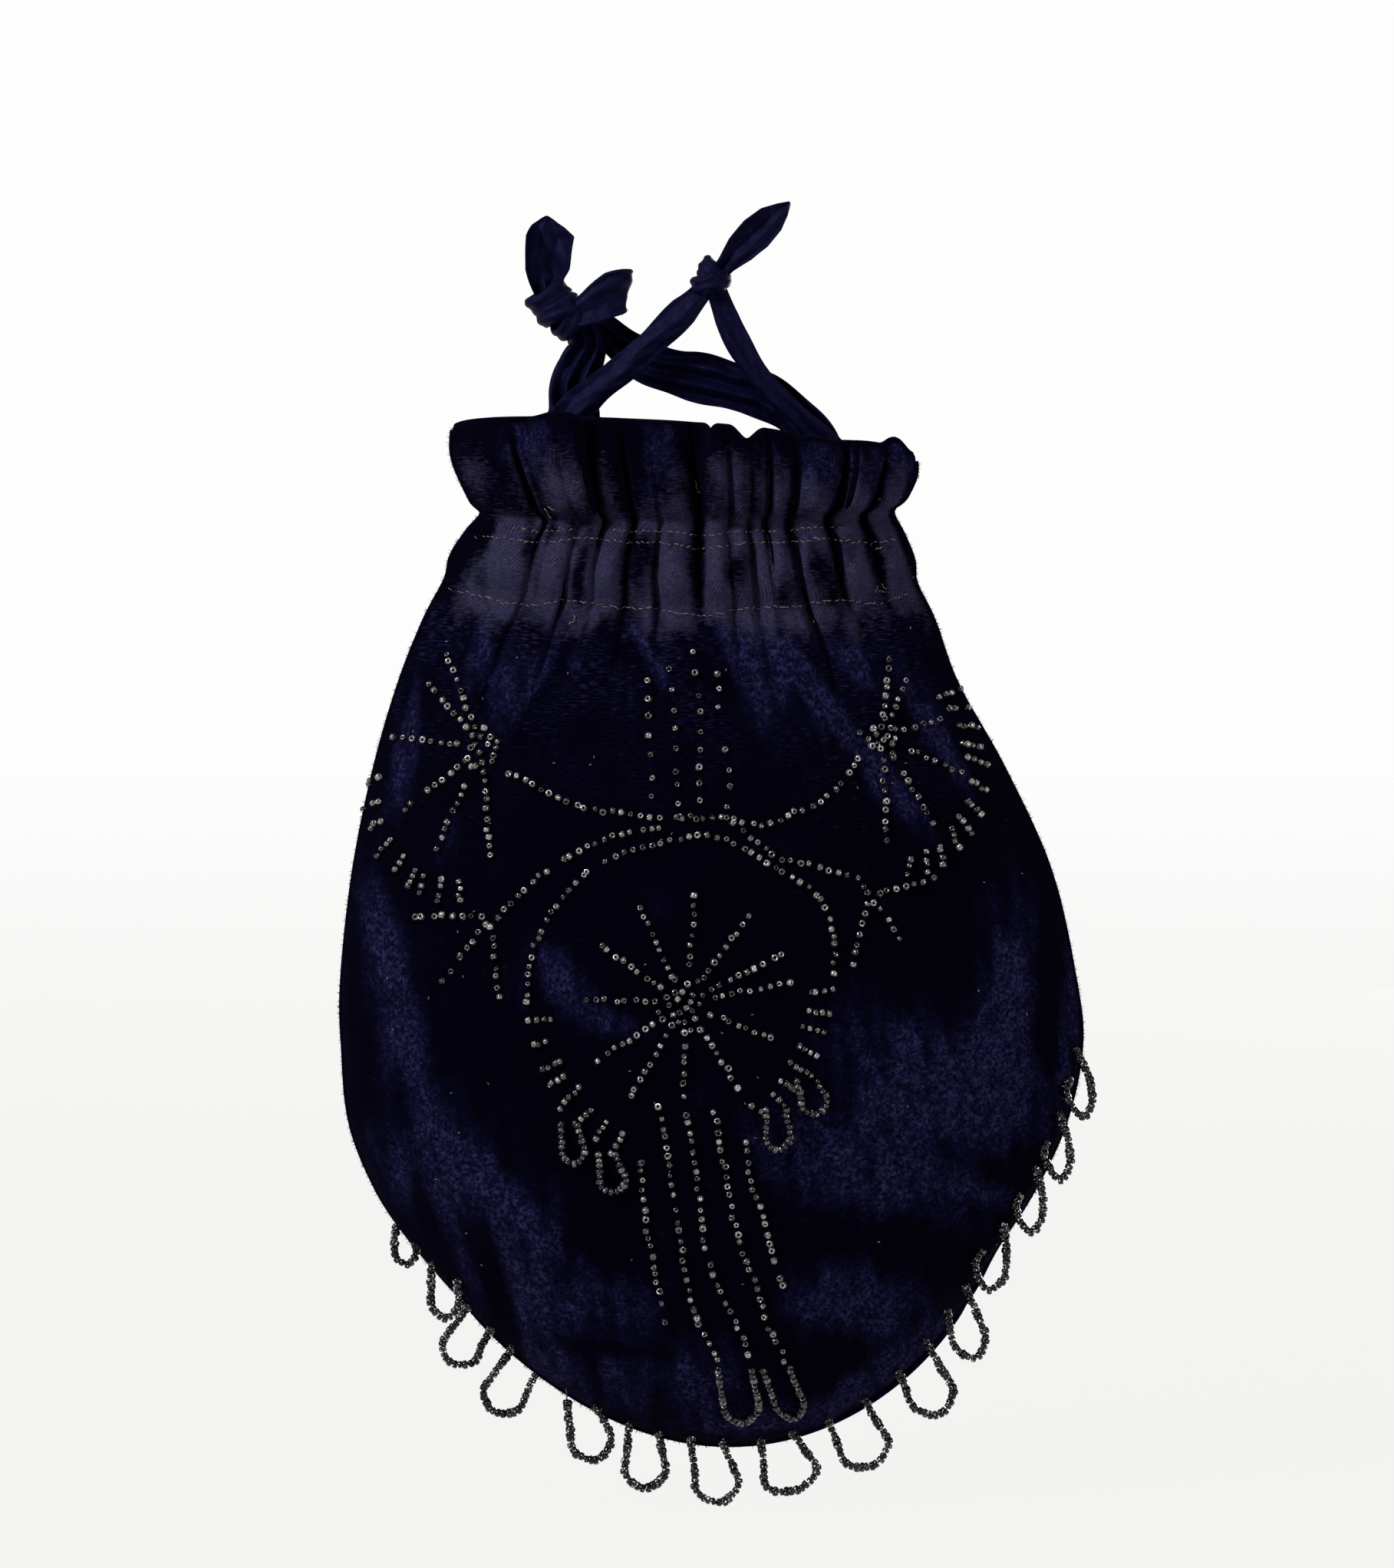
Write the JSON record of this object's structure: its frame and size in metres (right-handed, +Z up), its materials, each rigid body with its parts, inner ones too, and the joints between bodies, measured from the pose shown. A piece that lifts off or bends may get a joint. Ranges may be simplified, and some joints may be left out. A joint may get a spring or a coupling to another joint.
{
  "type": "velvet drawstring bag",
  "caption": "Round-bottomed velvet drawstring bag with a frilled heading, silk ribbon drawstrings, a bead fringe along the lower edge and hanging bead drops on the face.",
  "frame": {"origin": "the front knot of the ribbon drawstrings, where the bag hangs", "axes": "+Z up along the hanging bag, the beaded face looks along -Y, +X to the viewer's right"},
  "size_m": [0.2096, 0.0694, 0.3619],
  "materials": {
    "velvet": "cut pile velvet, midnight blue, rubbed to the ground weave on the gathers",
    "ribbon_silk": "matte silk crepe, crumpled",
    "glass_beads": "smoky grey glass seed beads, polished"
  },
  "bodies": {
    "root": {"front_panel": "velvet", "back_panel": "velvet", "ribbon_back_left": "ribbon_silk", "ribbon_back_right": "ribbon_silk", "ribbon_front_left": "ribbon_silk", "ribbon_front_right": "ribbon_silk", "knot_back": "ribbon_silk", "knot_front": "ribbon_silk", "end_back_up": "ribbon_silk", "end_back_side": "ribbon_silk", "end_front": "ribbon_silk", "fringe_loop_01": "glass_beads", "fringe_loop_02": "glass_beads", "fringe_loop_03": "glass_beads", "fringe_loop_04": "glass_beads", "fringe_loop_05": "glass_beads", "fringe_loop_06": "glass_beads", "fringe_loop_07": "glass_beads", "fringe_loop_08": "glass_beads", "fringe_loop_09": "glass_beads", "fringe_loop_10": "glass_beads", "fringe_loop_11": "glass_beads", "fringe_loop_12": "glass_beads", "fringe_loop_13": "glass_beads", "fringe_loop_14": "glass_beads", "fringe_loop_15": "glass_beads", "drop_loop_1": "glass_beads", "drop_loop_2": "glass_beads", "drop_loop_3": "glass_beads", "drop_loop_4": "glass_beads", "drop_loop_5": "glass_beads", "drop_loop_6": "glass_beads"}
  },
  "joints": []
}
